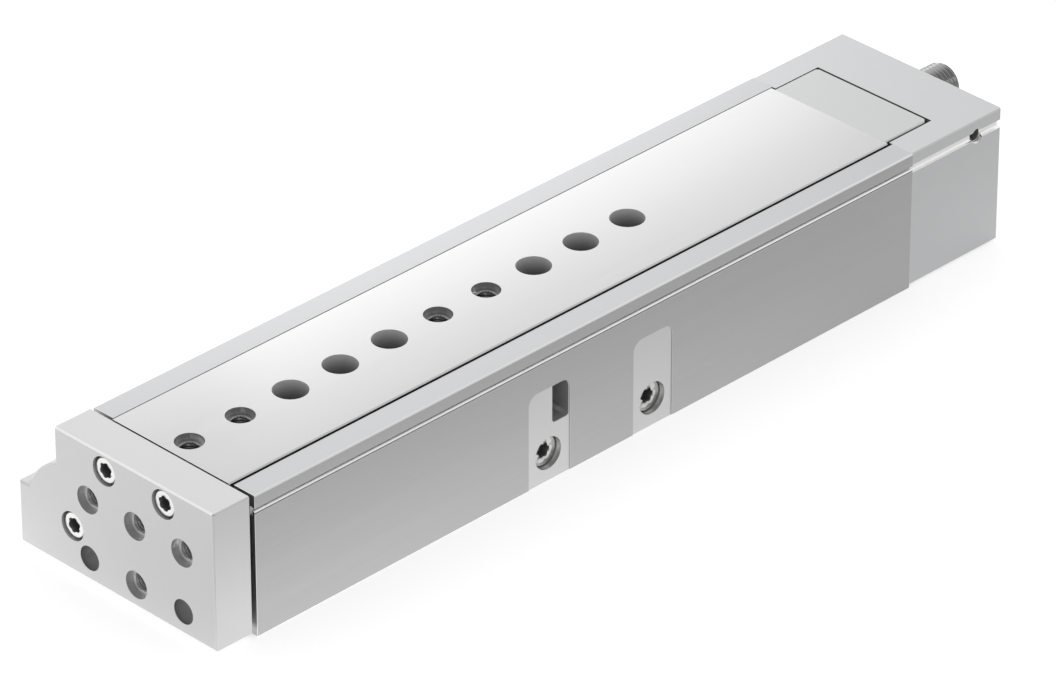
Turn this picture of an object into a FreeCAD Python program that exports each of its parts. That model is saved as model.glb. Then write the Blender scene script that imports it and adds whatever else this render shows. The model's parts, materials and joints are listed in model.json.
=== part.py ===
import FreeCAD, Part
import math
import os

os.makedirs("parts", exist_ok=True)

V = FreeCAD.Vector

# Pneumatic mini slide with a ball cage guide, in mm, drawn with its slide table retracted.
# X runs across the slide, the table extends towards -Y, and Z is up.
# The origin is in the base face, at the middle of the six mounting holes.

# Travel and lengths
stroke = 200.0
guide_overlap = 77.0            # guide length still engaged at full stroke
yoke_gap = 1.7                  # between yoke plate and housing face
table_setback = 1.5             # table's rear end, inside the housing's rear face
yoke_thickness = 14.0
cap_length = 40.6

# Hole row along the table: T is a centred thread, A gives access to a base screw
hole_pitch = 20.0
hole_row = "TTAAATTAAA"
first_hole = 8.1                # behind the table's front end
access_dia = 11.0
centring_dia = 9.0
centring_depth = 2.1
thread_dia = 5.0                # core of the M6 mounting threads
thread_mouth_dia = 6.4
base_hole_dia = 6.6
screw_seat_dia = 11.0
screw_seat_depth = 7.0

# Cylinder
bore_dia = 25.0
bore_x = -27.1
bore_z = 17.1
barrel_dia = 39.2
rod_dia = 10.0
running = 0.05                  # radial clearance of sliding pieces
piston_clearance = 0.08
piston_length = 20.0
gland_length = 22.0
gland_recess = 1.5
ring_thickness = 1.2
ring_groove_depth = 0.8
ring_reach = 1.6                # retaining ring's inner edge, inside the bore's wall
buffer_thickness = 3.0
buffer_play = 0.3               # between the piston and a buffer, at either end
buffer_bore_gap = 0.3           # round a buffer in the bore
buffer_rod_gap = 0.6            # between the front buffer and the rod

# Housing section
housing_half = 34.05
floor_over_bore = 2.4           # metal between the bore and the channel
lobe_x = -50.4
lobe_height = 22.7
edge_bevel = 0.4
channel_half = 25.5
channel_depth = 15.8

# Guide
ball_dia = 5.0
ball_clearance = 0.08
ball_x = 17.6
balls_per_cage = 6
cage_gap = 2.0                  # between table side and rail
cage_thickness = 1.2
cage_height = 8.0
cage_end_play = 2.5             # cage to guide end, at either end of the stroke
rail_height = 12.0
rail_key_depth = 1.5
rail_key_height = 9.0

# Slide table
table_rise = 0.6                # table's top above the housing's
table_half = 24.8
table_lip = 3.8
table_floor_gap = 1.0
table_relief = 0.45             # step at its front top edge, beside the yoke
table_relief_depth = 1.5
magnet_dia = 4.0
magnet_height = 2.4
magnet_x = 21.5
magnet_from_rear = 8.0
tongue_half = 23.4
tongue_core_half = 14.5
tongue_drop = 0.2
tongue_gap = 1.3
tongue_corner = 1.2

# Yoke plate
yoke_half = 33.75
yoke_bottom = 1.8
yoke_rise = 0.5                 # yoke's top above the housing's
yoke_lobe_x = -50.1
yoke_bevel = 0.5
yoke_screw_x = 12.5
yoke_screw_drop = 6.1           # below the table's top
yoke_row_x = 20.0
yoke_upper_row_z = 29.25
yoke_lower_row_z = 9.25
yoke_plain_dia = 8.0
cap_screw_sink = 0.7            # screw heads below the yoke's face

# Rear cap
cap_side_inset = 0.4
cap_bottom_inset = 0.95
pocket_half = 24.0
pocket_depth = 19.3
cap_screw_thread = 10.0
cap_screw_run_out = 2.0         # hole beyond the screw's end
head_sink = 0.3                 # screw heads below the face behind them
cap_screw_places = [(28.0, 25.0), (28.0, 7.0), (-7.0, 7.0), (-44.0, 8.0)]
rear_port_places = [(2.0, 20.0), (15.5, 20.0)]
port_thread_dia = 8.6
port_thread_depth = 10.0
port_face_depth = 0.7           # flat face round each rear port

# Side pockets with blanked air ports
recess_depth = 0.3
recess_top = 32.3
recess_corner = 3.5
recess_1_from_front = (110.3, 127.6)
recess_2_from_front = (154.5, 171.1)
port_z = 9.5
port_1_from_front = 118.7
port_2_from_front = 162.8
port_dia = 10.8
port_depth = 9.0
port_plug_sink = 2.1
port_plug_length = 6.5
port_plug_chamfer = 0.5
port_plug_key = 5.0
window_from_front = (120.4, 127.2)
window_bottom = 19.3
window_depth = 8.0
window_corner = 1.2             # its lower corners

# Sensor slot
slot_top_drop = 4.3             # below the housing's top
slot_height = 2.7
slot_mouth_drop = 4.4
slot_mouth_height = 1.0
slot_lip = 0.9                  # metal left over the slot beside its mouth
slot_lip_bevel = 0.4            # along the mouth's lower edge
slot_depth = 1.9
score_drop = 5.95               # fine line beside the mouth
score_height = 0.25
score_depth = 0.2

# Shock absorber and its side clamp
absorber_dia = 14.0
absorber_drop = 9.4             # its axis below the table's top
absorber_protrusion = 11.6
absorber_setback = 1.0
absorber_stroke = 12.0
absorber_wall = 1.7
absorber_bearing = 4.0
plunger_dia = 4.0
button_dia = 7.0
button_length = 3.0
absorber_end_bevel = 0.4
clamp_from_rear = 10.6
clamp_rise = 2.9                # above the absorber's axis
clamp_dia = 4.0
clamp_key = 2.0
clamp_key_depth = 2.0
clamp_mouth_dia = 5.2
clamp_mouth_depth = 1.2
clamp_screw_length = 12.0
clamp_pad_length = 2.5

# Socket head cap screws: shank, head diameter, head height, key across flats
screw_m5 = (5.0, 8.5, 5.0, 4.0)
screw_m4 = (4.0, 7.0, 4.0, 3.0)
screw_head_chamfer = 0.4
yoke_screw_length = 20.0
tongue_screw_x = 9.0
tongue_screw_drop = 8.4         # below the table's top
tongue_screw_length = 24.0
screw_clearance = 0.25          # round a shank in a plain hole
thread_play = 0.05              # round a shank in its thread
head_clearance = 0.5            # round a head in its seat

# Places worked out from the sizes
housing_length = stroke + guide_overlap
channel_floor = bore_z + bore_dia / 2 + floor_over_bore
housing_height = channel_floor + channel_depth
ball_z = channel_floor + rail_height / 2
table_top = housing_height + table_rise
yoke_top = housing_height + yoke_rise
yoke_screw_z = table_top - yoke_screw_drop
tongue_screw_z = table_top - tongue_screw_drop
absorber_z = table_top - absorber_drop
clamp_z = absorber_z + clamp_rise
slot_z = (housing_height - slot_top_drop - slot_height, housing_height - slot_top_drop)
slot_mouth = (housing_height - slot_mouth_drop - slot_mouth_height, housing_height - slot_mouth_drop)
score_z = (housing_height - score_drop - score_height, housing_height - score_drop)
row_middle = (hole_row.index("A") + hole_row.rindex("A")) / 2
table_front = -row_middle * hole_pitch - first_hole
yoke_front = table_front - yoke_thickness
housing_front = table_front + yoke_gap
housing_rear = housing_front + housing_length
recess_1 = [housing_front + y for y in recess_1_from_front]
recess_2 = [housing_front + y for y in recess_2_from_front]
window_y = [housing_front + y for y in window_from_front]
port_1_y = housing_front + port_1_from_front
port_2_y = housing_front + port_2_from_front
table_rear = housing_rear - table_setback
cap_rear = housing_rear + cap_length
pocket_rear = housing_rear + pocket_depth
tongue_rear = pocket_rear - tongue_gap
rail_inner = ball_x + cage_gap / 2
table_core_half = ball_x - cage_gap / 2
gland_front = housing_front + gland_recess + ring_thickness
gland_rear = gland_front + gland_length
piston_front = gland_rear + buffer_thickness + buffer_play + stroke
piston_rear = piston_front + piston_length
plug_front = piston_rear + buffer_play + buffer_thickness
cage_middle = (housing_front + housing_rear) / 2
cage_length = guide_overlap - 2 * cage_end_play
absorber_front = pocket_rear + absorber_setback
absorber_rear = cap_rear + absorber_protrusion
clamp_y = cap_rear - clamp_from_rear


def hole_places(kind):
    """Y of each hole of one kind in the table's row."""
    first = table_front + first_hole
    return [first + i * hole_pitch for i, k in enumerate(hole_row) if k == kind]


def block(x, y, z):
    """A box from three (low, high) pairs."""
    return Part.makeBox(x[1] - x[0], y[1] - y[0], z[1] - z[0], V(x[0], y[0], z[0]))


def rod_y(dia, x, z, y0, y1):
    return Part.makeCylinder(dia / 2, y1 - y0, V(x, y0, z), V(0, 1, 0))


def rod_z(dia, x, y, z0, z1):
    return Part.makeCylinder(dia / 2, z1 - z0, V(x, y, z0), V(0, 0, 1))


def rod_x(dia, y, z, x0, x1):
    return Part.makeCylinder(dia / 2, x1 - x0, V(x0, y, z), V(1, 0, 0))


def hexagon(flats, length):
    """A hexagonal prism standing on the origin."""
    corners = [60 * i for i in range(7)]
    reach = flats / math.sqrt(3)
    turns = [math.radians(a) for a in corners]
    points = [V(reach * math.cos(t), reach * math.sin(t), 0) for t in turns]
    return Part.Face(Part.makePolygon(points)).extrude(V(0, 0, length))


def placed(shape, point, direction):
    """Turn a shape drawn along +Z to a direction and move it to a point."""
    copy = shape.copy()
    copy.Placement = FreeCAD.Placement(point, FreeCAD.Rotation(V(0, 0, 1), direction))
    return copy


def prism(points, y0, y1):
    """Extrude an (x, z) outline along Y."""
    corners = [V(x, y0, z) for x, z in points]
    return Part.Face(Part.makePolygon(corners + corners[:1])).extrude(V(0, y1 - y0, 0))


def turned(profile, x, z):
    """Revolve a (radius, y) outline about the line through x and z along Y."""
    corners = [V(x + r, y, z) for r, y in profile]
    face = Part.Face(Part.makePolygon(corners + corners[:1]))
    return face.revolve(V(x, 0, z), V(0, 1, 0), 360)


def ring(inner, outer, y0, y1, x=bore_x, z=bore_z):
    """A plain ring round the cylinder's axis, from diameters."""
    return turned([(inner / 2, y0), (outer / 2, y0), (outer / 2, y1), (inner / 2, y1)], x, z)


def cap_screw(sizes, length):
    """A socket head cap screw with its head's seat at the origin and its head towards +Z."""
    shank, head, height, key = sizes
    screw = Part.makeCylinder(head / 2, height)
    rim = [e for e in screw.Edges if abs(e.BoundBox.ZMin - height) < 1e-6 and e.BoundBox.ZLength < 1e-6]
    screw = screw.makeChamfer(screw_head_chamfer, rim)
    screw = screw.fuse(Part.makeCylinder(shank / 2 - thread_play, length, V(0, 0, -length)))
    socket = hexagon(key, height / 2)
    socket.translate(V(0, 0, height / 2))
    return screw.cut(socket).removeSplitter()


def body_outline(half, left, bottom, top, foot):
    """Section with an upright body and a barrel lobe on its left, round about the rod."""
    radius = barrel_dia / 2
    arc_top = bore_z + math.sqrt(radius ** 2 - (half + bore_x) ** 2)
    foot_end = bore_x - math.sqrt(radius ** 2 - (foot - bore_z) ** 2)
    start, end = math.asin((arc_top - bore_z) / radius), math.asin((foot - bore_z) / radius)
    half_way = math.pi - (start + end) / 2
    middle = V(bore_x + radius * math.cos(half_way), 0, bore_z + radius * math.sin(half_way))
    bevel = edge_bevel
    upper = [(left, foot), (left, bottom), (half, bottom), (half, top - bevel)]
    upper += [(half - bevel, top), (bevel - half, top), (-half, top - bevel), (-half, arc_top)]
    edges = [Part.makePolygon([V(x, 0, z) for x, z in upper])]
    edges.append(Part.Arc(V(-half, 0, arc_top), middle, V(foot_end, 0, foot)).toShape())
    edges.append(Part.makeLine(V(foot_end, 0, foot), V(left, 0, foot)))
    return Part.Face(Part.Wire([e for shape in edges for e in shape.Edges]))


def body_solid(outline, y0, y1):
    face = outline.copy()
    face.translate(V(0, y0, 0))
    return face.extrude(V(0, y1 - y0, 0))


def edges_along_x(panel, wanted):
    """The edges of a box along X that pass a test of their bounding box."""
    return [e for e in panel.Edges if e.BoundBox.XLength > 1e-6 and wanted(e.BoundBox)]


def side_window():
    """Window under the first recess's top; its rear top corner runs beside the recess's corner."""
    deep = (housing_half - window_depth, housing_half)
    window = block(deep, window_y, (window_bottom, recess_top))
    beside = recess_1[1] - window_y[1]
    rear_top = edges_along_x(window, lambda box: min(box.YMin - window_y[1], box.ZMin - recess_top) > -1e-6)
    window = window.makeFillet(recess_corner - beside, rear_top)
    bottom = edges_along_x(window, lambda box: box.ZMax < window_bottom + 1e-6)
    return window.makeFillet(window_corner, bottom)


def side_recesses():
    """Tombstone recesses open to the base, their blanked ports and the window in the first."""
    inner = housing_half - recess_depth
    cuts = []
    for span, port_y in ((recess_1, port_1_y), (recess_2, port_2_y)):
        panel = block((inner, housing_half + 1), span, (-1, recess_top))
        top = edges_along_x(panel, lambda box: box.ZMin > recess_top - 1e-6)
        cuts.append(panel.makeFillet(recess_corner, top))
        cuts.append(rod_x(port_dia, port_y, port_z, inner - port_depth, inner + 1))
    return cuts + [side_window()]


def sensor_slot():
    """Undercut sensor slot with a narrow mouth in the housing's right side."""
    span = (housing_front, housing_rear)
    floor = housing_half - slot_depth
    channel = block((floor, housing_half - slot_lip), span, slot_z)
    mouth = block((floor, housing_half + 1), span, slot_mouth)
    score = block((housing_half - score_depth, housing_half + 1), span, score_z)
    edge, out = slot_mouth[0], housing_half
    corner = [(out - slot_lip_bevel, edge), (out, edge), (out, edge - slot_lip_bevel)]
    bevel = prism(corner, housing_front, housing_rear)
    return [channel.fuse(mouth), score, bevel]


def rail_section(side):
    """Outline of a guide rail: a strip with a key that sits in the channel wall."""
    low = channel_floor + (rail_height - rail_key_height) / 2
    high = low + rail_key_height
    wall, key = channel_half, channel_half + rail_key_depth
    top = channel_floor + rail_height
    points = [(rail_inner, channel_floor), (wall, channel_floor), (wall, low), (key, low)]
    points += [(key, high), (wall, high), (wall, top), (rail_inner, top)]
    return [(side * x, z) for x, z in points]


def raceway(side, y0, y1):
    return rod_y(ball_dia + 2 * ball_clearance, side * ball_x, ball_z, y0, y1)


def thread_mouth(point, inwards):
    """Cone that opens a mounting thread at a point on its face."""
    depth = (thread_mouth_dia - thread_dia) / 2
    return Part.makeCone(thread_mouth_dia / 2, thread_dia / 2, depth, point, inwards)


def base_holes():
    """Centred through holes for base screws, reached through the table's access holes."""
    cuts = []
    for y in hole_places("A"):
        cuts.append(rod_z(centring_dia, 0, y, -1, centring_depth))
        cuts.append(rod_z(base_hole_dia, 0, y, 0, channel_floor + 1))
        cuts.append(rod_z(screw_seat_dia, 0, y, channel_floor - screw_seat_depth, channel_floor + 1))
    return cuts


def housing():
    outline = body_outline(housing_half, lobe_x, 0, housing_height, lobe_height)
    body = body_solid(outline, housing_front, housing_rear)
    span = (housing_front, housing_rear)
    cuts = [block((-channel_half, channel_half), span, (channel_floor, housing_height + 1))]
    cuts += [prism(rail_section(side), *span) for side in (-1, 1)]
    cuts.append(rod_y(bore_dia, bore_x, bore_z, *span))
    groove = housing_front + gland_recess
    cuts.append(rod_y(bore_dia + 2 * ring_groove_depth, bore_x, bore_z, groove, groove + ring_thickness))
    cuts += sensor_slot()
    cuts += side_recesses()
    cuts += base_holes()
    hole_end = housing_rear - cap_screw_thread - cap_screw_run_out
    cuts += [rod_y(screw_m5[0], x, z, hole_end, housing_rear) for x, z in cap_screw_places]
    return body.cut(cuts)


def rear_cap():
    side = housing_half - cap_side_inset
    outline = body_outline(side, lobe_x + cap_side_inset, cap_bottom_inset, housing_height, lobe_height)
    body = body_solid(outline, housing_rear, cap_rear)
    above = (channel_floor, housing_height + 1)
    cuts = [block((-pocket_half, pocket_half), (housing_rear, pocket_rear), above)]
    cuts.append(rod_y(absorber_dia + 2 * thread_play, 0, absorber_z, pocket_rear, cap_rear))
    cuts.append(rod_y(slot_height, side, sum(slot_z) / 2, housing_rear, cap_rear))
    cuts.append(rod_x(clamp_dia + 2 * thread_play, clamp_y, clamp_z, 0, side))
    cuts.append(rod_x(clamp_mouth_dia, clamp_y, clamp_z, side - clamp_mouth_depth, side + 1))
    seat = cap_rear - screw_m5[2] - head_sink
    for x, z in cap_screw_places:
        cuts.append(rod_y(screw_m5[0] + 2 * screw_clearance, x, z, housing_rear, cap_rear))
        cuts.append(rod_y(screw_m5[1] + 2 * head_clearance, x, z, seat, cap_rear))
    for x, z in rear_port_places:
        cuts.append(rod_y(port_thread_dia, x, z, cap_rear - port_thread_depth, cap_rear))
        cuts.append(rod_y(port_dia, x, z, cap_rear - port_face_depth, cap_rear))
    return body.cut(cuts)


def rear_cap_screws():
    seat = cap_rear - screw_m5[2] - head_sink
    screw = cap_screw(screw_m5, seat - housing_rear + cap_screw_thread)
    return [placed(screw, V(x, seat, z), V(0, 1, 0)) for x, z in cap_screw_places]


def guide_rail(side):
    rail = prism(rail_section(side), housing_front, housing_rear)
    return rail.cut(raceway(side, housing_front, housing_rear))


def ball_places(side):
    pitch = cage_length / balls_per_cage
    first = cage_middle - cage_length / 2 + pitch / 2
    return [V(side * ball_x, first + i * pitch, ball_z) for i in range(balls_per_cage)]


def ball_cage(side):
    middle = side * ball_x
    half = cage_length / 2
    plate = block(
        (middle - cage_thickness / 2, middle + cage_thickness / 2),
        (cage_middle - half, cage_middle + half),
        (ball_z - cage_height / 2, ball_z + cage_height / 2),
    )
    hole = ball_dia + 2 * ball_clearance
    reach = cage_thickness
    return plate.cut([rod_x(hole, p.y, p.z, middle - reach, middle + reach) for p in ball_places(side)])


def balls(side):
    return [Part.makeSphere(ball_dia / 2, p) for p in ball_places(side)]


def table_section(lip_half, core_half, top):
    """T section: a wide lip over a core that runs between the rails."""
    bottom = channel_floor + table_floor_gap
    lip = table_top - table_lip
    right = [(core_half, bottom), (core_half, lip), (lip_half, lip)]
    right += [(lip_half, top - edge_bevel), (lip_half - edge_bevel, top)]
    left = [(-x, z) for x, z in reversed(right)]
    return right + left


def slide_table():
    table = prism(table_section(table_half, table_core_half, table_top), table_front, table_rear)
    cuts = [raceway(side, table_front, table_rear) for side in (-1, 1)]
    for y in hole_places("T"):
        cuts.append(rod_z(centring_dia, 0, y, table_top - centring_depth, table_top + 1))
        cuts.append(rod_z(thread_dia, 0, y, channel_floor, table_top))
        cuts.append(thread_mouth(V(0, y, table_top - centring_depth), V(0, 0, -1)))
    for y in hole_places("A"):
        cuts.append(rod_z(access_dia, 0, y, channel_floor, table_top + 1))
    depth = yoke_screw_length
    for x in (-yoke_screw_x, yoke_screw_x):
        cuts.append(rod_y(screw_m5[0], x, yoke_screw_z, table_front, table_front + depth))
    depth = tongue_screw_length / 2
    for x in (-tongue_screw_x, tongue_screw_x):
        cuts.append(rod_y(screw_m4[0], x, tongue_screw_z, table_rear - depth, table_rear))
    cuts.append(position_magnet())
    relief = (table_top - table_relief_depth, table_top + 1)
    cuts.append(block((-table_half, table_half), (table_front, table_front + table_relief), relief))
    return table.cut(cuts)


def position_magnet():
    """Small magnet let into the lip's underside, next to the sensor slot."""
    lip = table_top - table_lip
    return rod_z(magnet_dia, magnet_x, table_rear - magnet_from_rear, lip, lip + magnet_height)


def stop_tongue():
    """Stop block behind the table, which meets the shock absorber in the rear cap's pocket."""
    section = table_section(tongue_half, tongue_core_half, table_top - tongue_drop)
    tongue = prism(section, table_rear, tongue_rear)
    corners = []
    for edge in tongue.Edges:
        box = edge.BoundBox
        on_side = abs(abs(box.Center.x) - tongue_half) < 1e-6
        if on_side and box.ZLength > 1e-6 and box.YMin > tongue_rear - 1e-6:
            corners.append(edge)
    tongue = tongue.makeChamfer(tongue_corner, corners)
    seat = tongue_rear - screw_m4[2] - head_sink
    cuts = []
    for x in (-tongue_screw_x, tongue_screw_x):
        cuts.append(rod_y(screw_m4[0] + 2 * screw_clearance, x, tongue_screw_z, table_rear, tongue_rear))
        cuts.append(rod_y(screw_m4[1] + 2 * head_clearance, x, tongue_screw_z, seat, tongue_rear))
    return tongue.cut(cuts)


def tongue_screws():
    seat = tongue_rear - screw_m4[2] - head_sink
    screw = cap_screw(screw_m4, tongue_screw_length)
    places = [V(x, seat, tongue_screw_z) for x in (-tongue_screw_x, tongue_screw_x)]
    return [placed(screw, place, V(0, 1, 0)) for place in places]


def yoke_screw_places():
    """The two table screws and the rod screw, as (x, z)."""
    return [(-yoke_screw_x, yoke_screw_z), (yoke_screw_x, yoke_screw_z), (bore_x, bore_z)]


def yoke_seat():
    return yoke_front + cap_screw_sink + screw_m5[2]


def yoke_plate():
    outline = body_outline(yoke_half, yoke_lobe_x, yoke_bottom, yoke_top, lobe_height)
    plate = body_solid(outline, yoke_front, table_front)
    rim = [e for e in plate.Edges if e.BoundBox.YMax < yoke_front + 1e-6]
    plate = plate.makeChamfer(yoke_bevel, rim)
    cuts = []
    for x, z in yoke_screw_places():
        cuts.append(rod_y(screw_m5[0] + 2 * screw_clearance, x, z, yoke_front, table_front))
        cuts.append(rod_y(screw_m5[1] + 2 * head_clearance, x, z, yoke_front - 1, yoke_seat()))
    centred = [(-yoke_row_x, yoke_upper_row_z), (0, yoke_upper_row_z), (yoke_row_x, yoke_upper_row_z)]
    centred.append((0, yoke_lower_row_z))
    for x, z in centred:
        cuts.append(rod_y(centring_dia, x, z, yoke_front - 1, yoke_front + centring_depth))
        cuts.append(rod_y(thread_dia, x, z, yoke_front, table_front))
        cuts.append(thread_mouth(V(x, yoke_front + centring_depth, z), V(0, 1, 0)))
    for x in (-yoke_row_x, yoke_row_x):
        cuts.append(rod_y(yoke_plain_dia, x, yoke_lower_row_z, yoke_front - 1, table_front))
    return plate.cut(cuts)


def yoke_screws():
    screw = cap_screw(screw_m5, yoke_screw_length)
    return [placed(screw, V(x, yoke_seat(), z), V(0, -1, 0)) for x, z in yoke_screw_places()[:2]]


def rod_screw():
    x, z = yoke_screw_places()[2]
    return placed(cap_screw(screw_m5, yoke_screw_length), V(x, yoke_seat(), z), V(0, -1, 0))


# Cylinder pieces, turned about the rod's axis
spigot_dia = 8.0
nut_flats = 13.0
nut_height = 4.0
nut_seat = piston_rear - nut_height - head_sink
seal_width = 3.0
seal_depth = 2.6
wear_width = 3.0
wear_depth = 1.5
magnet_width = 4.0
magnet_depth = 3.0
land = 1.25


def piston_rod():
    rod = rod_y(rod_dia, bore_x, bore_z, table_front, piston_front)
    spigot = rod_y(spigot_dia, bore_x, bore_z, piston_front, nut_seat + nut_height)
    thread = rod_y(screw_m5[0], bore_x, bore_z, table_front, table_front + yoke_screw_length)
    return rod.fuse(spigot).cut(thread).removeSplitter()


def piston_grooves():
    """Each groove's name, start, width and depth, one after another along the piston."""
    rows = [("front", seal_width, seal_depth), ("wear", wear_width, wear_depth)]
    rows += [("magnet", magnet_width, magnet_depth), ("rear", seal_width, seal_depth)]
    places = {}
    y = piston_front + land
    for name, width, depth in rows:
        places[name] = (y, width, depth)
        y += width + land
    return places


def piston():
    outer = bore_dia - 2 * piston_clearance
    body = ring(spigot_dia, outer, piston_front, piston_rear)
    recess_dia = nut_flats / math.cos(math.radians(30)) + 2 * head_clearance
    recess = rod_y(recess_dia, bore_x, bore_z, nut_seat, piston_rear)
    grooves = [ring(outer - 2 * d, outer + 1, y, y + w) for y, w, d in piston_grooves().values()]
    return body.cut([recess] + grooves)


def piston_ring(name):
    y, width, depth = piston_grooves()[name]
    inner = bore_dia - 2 * piston_clearance - 2 * depth
    return ring(inner, bore_dia - 2 * running, y, y + width)


def piston_nut():
    nut = placed(hexagon(nut_flats, nut_height), V(bore_x, nut_seat, bore_z), V(0, 1, 0))
    return nut.cut(rod_y(spigot_dia, bore_x, bore_z, nut_seat, piston_rear))


# Seals of the rod gland and the end plug
gland_groove_width = 2.6
gland_groove_depth = 2.0
wiper_width = 3.0
wiper_dia = 15.0
rod_seal_width = 3.5
rod_seal_dia = 15.0
gland_wall = 4.0


def rod_gland():
    body = ring(rod_dia + 2 * running, bore_dia - 2 * running, gland_front, gland_rear)
    wiper_seat = rod_y(wiper_dia, bore_x, bore_z, gland_front, gland_front + wiper_width)
    seal_start = gland_rear - gland_wall - rod_seal_width
    seal_seat = rod_y(rod_seal_dia, bore_x, bore_z, seal_start, seal_start + rod_seal_width)
    start = gland_front + gland_wall
    outer = bore_dia - 2 * running
    groove = ring(outer - 2 * gland_groove_depth, outer + 1, start, start + gland_groove_width)
    return body.cut([wiper_seat, seal_seat, groove])


def gland_seal():
    start = gland_front + gland_wall
    inner = bore_dia - 2 * running - 2 * gland_groove_depth
    return ring(inner, bore_dia, start, start + gland_groove_width)


def rod_wiper():
    return ring(rod_dia + 2 * running, wiper_dia, gland_front, gland_front + wiper_width)


def rod_seal():
    start = gland_rear - gland_wall - rod_seal_width
    return ring(rod_dia + 2 * running, rod_seal_dia, start, start + rod_seal_width)


def retaining_ring():
    outer = bore_dia + 2 * ring_groove_depth
    start = gland_front - ring_thickness
    body = ring(bore_dia - 2 * ring_reach - 2 * ring_groove_depth, outer, start, gland_front)
    width = (bore_x - rod_dia / 2, bore_x + rod_dia / 2)
    opening = block(width, (start, gland_front), (bore_z, bore_z + outer))
    return body.cut(opening)


def front_buffer():
    inner = rod_dia + 2 * buffer_rod_gap
    return ring(inner, bore_dia - 2 * buffer_bore_gap, gland_rear, gland_rear + buffer_thickness)


def rear_buffer():
    return ring(spigot_dia, bore_dia - 2 * buffer_bore_gap, plug_front - buffer_thickness, plug_front)


def end_plug():
    outer = bore_dia - 2 * running
    body = rod_y(outer, bore_x, bore_z, plug_front, housing_rear)
    start = plug_front + gland_wall
    return body.cut(ring(outer - 2 * gland_groove_depth, outer + 1, start, start + gland_groove_width))


def end_plug_seal():
    start = plug_front + gland_wall
    inner = bore_dia - 2 * running - 2 * gland_groove_depth
    return ring(inner, bore_dia, start, start + gland_groove_width)


def port_plug(port_y):
    face = housing_half - recess_depth - port_plug_sink
    plug = rod_x(port_dia - 2 * thread_play, port_y, port_z, face - port_plug_length, face)
    rim = [e for e in plug.Edges if e.BoundBox.XMin > face - 1e-6]
    plug = plug.makeChamfer(port_plug_chamfer, rim)
    socket = hexagon(port_plug_key, port_plug_length)
    return plug.cut(placed(socket, V(face - port_plug_length / 2, port_y, port_z), V(1, 0, 0)))


# Shock absorber, drawn pressed in by the stop tongue
button_clearance = 0.3          # button to the tongue, and in its recess
damper_disc_gap = 0.3
button_face = tongue_rear + button_clearance
button_seat = absorber_front + button_length
cavity_front = button_seat + absorber_bearing
damper_disc = 3.0
disc_start = cavity_front + damper_disc + absorber_stroke
cavity_rear = disc_start + damper_disc + damper_disc_gap
cavity_dia = absorber_dia - 2 * absorber_wall
absorber_key = 6.0
absorber_key_depth = 2.5


def shock_absorber():
    body = rod_y(absorber_dia, 0, absorber_z, absorber_front, absorber_rear)
    rims = [e for e in body.Edges if e.BoundBox.YLength < 1e-6]
    body = body.makeChamfer(absorber_end_bevel, rims)
    cuts = [rod_y(button_dia + 2 * button_clearance, 0, absorber_z, absorber_front, button_seat)]
    cuts.append(rod_y(plunger_dia + 2 * running, 0, absorber_z, absorber_front, cavity_front))
    cuts.append(rod_y(cavity_dia, 0, absorber_z, cavity_front, cavity_rear))
    key = hexagon(absorber_key, absorber_key_depth)
    cuts.append(placed(key, V(0, absorber_rear - absorber_key_depth, absorber_z), V(0, 1, 0)))
    return body.cut(cuts)


def absorber_plunger():
    stem = rod_y(plunger_dia, 0, absorber_z, button_face + button_length, disc_start)
    disc = rod_y(cavity_dia - 2 * damper_disc_gap, 0, absorber_z, disc_start, disc_start + damper_disc)
    return stem.fuse(disc).removeSplitter()


def plunger_button():
    button = rod_y(button_dia, 0, absorber_z, button_face, button_face + button_length)
    rim = [e for e in button.Edges if e.BoundBox.YMax < button_face + 1e-6]
    return button.makeChamfer(absorber_end_bevel, rim)


def clamp_start():
    """Where the clamp pad ends and its screw begins."""
    return absorber_dia / 2 + clamp_pad_length


def clamp_pad():
    pad = rod_x(clamp_dia, clamp_y, clamp_z, 0, clamp_start())
    return pad.cut(rod_y(absorber_dia, 0, absorber_z, pocket_rear, cap_rear))


def clamp_screw():
    start = clamp_start()
    screw = rod_x(clamp_dia, clamp_y, clamp_z, start, start + clamp_screw_length)
    key = hexagon(clamp_key, clamp_key_depth)
    key_start = start + clamp_screw_length - clamp_key_depth
    return screw.cut(placed(key, V(key_start, clamp_y, clamp_z), V(1, 0, 0)))


def write(name, *solids):
    """Save one named piece, or a group of like pieces, as a STEP file."""
    shape = solids[0] if len(solids) == 1 else Part.Compound(list(solids))
    shape.exportStep("parts/" + name + ".step")
    print(name, len(shape.Solids), "valid" if shape.isValid() else "NOT VALID", round(shape.Volume, 1))


write("housing", housing())
write("rear_cap", rear_cap())
write("rear_cap_screws", *rear_cap_screws())
write("slide_table", slide_table())
write("position_magnet", position_magnet())
write("stop_tongue", stop_tongue())
write("tongue_screws", *tongue_screws())
write("yoke_plate", yoke_plate())
write("yoke_screws", *yoke_screws())
write("rod_screw", rod_screw())
for side_name, sign in (("left", -1), ("right", 1)):
    write("guide_rail_" + side_name, guide_rail(sign))
    write("ball_cage_" + side_name, ball_cage(sign))
    write("balls_" + side_name, *balls(sign))
write("piston_rod", piston_rod())
write("piston", piston())
write("piston_seals", piston_ring("front"), piston_ring("rear"))
write("piston_wear_ring", piston_ring("wear"))
write("piston_magnet", piston_ring("magnet"))
write("piston_nut", piston_nut())
write("rod_gland", rod_gland())
write("gland_seal", gland_seal())
write("rod_wiper", rod_wiper())
write("rod_seal", rod_seal())
write("retaining_ring", retaining_ring())
write("front_buffer", front_buffer())
write("rear_buffer", rear_buffer())
write("end_plug", end_plug())
write("end_plug_seal", end_plug_seal())
write("port_plug_front", port_plug(port_1_y))
write("port_plug_rear", port_plug(port_2_y))
write("shock_absorber", shock_absorber())
write("absorber_plunger", absorber_plunger())
write("plunger_button", plunger_button())
write("absorber_clamp_pad", clamp_pad())
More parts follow.
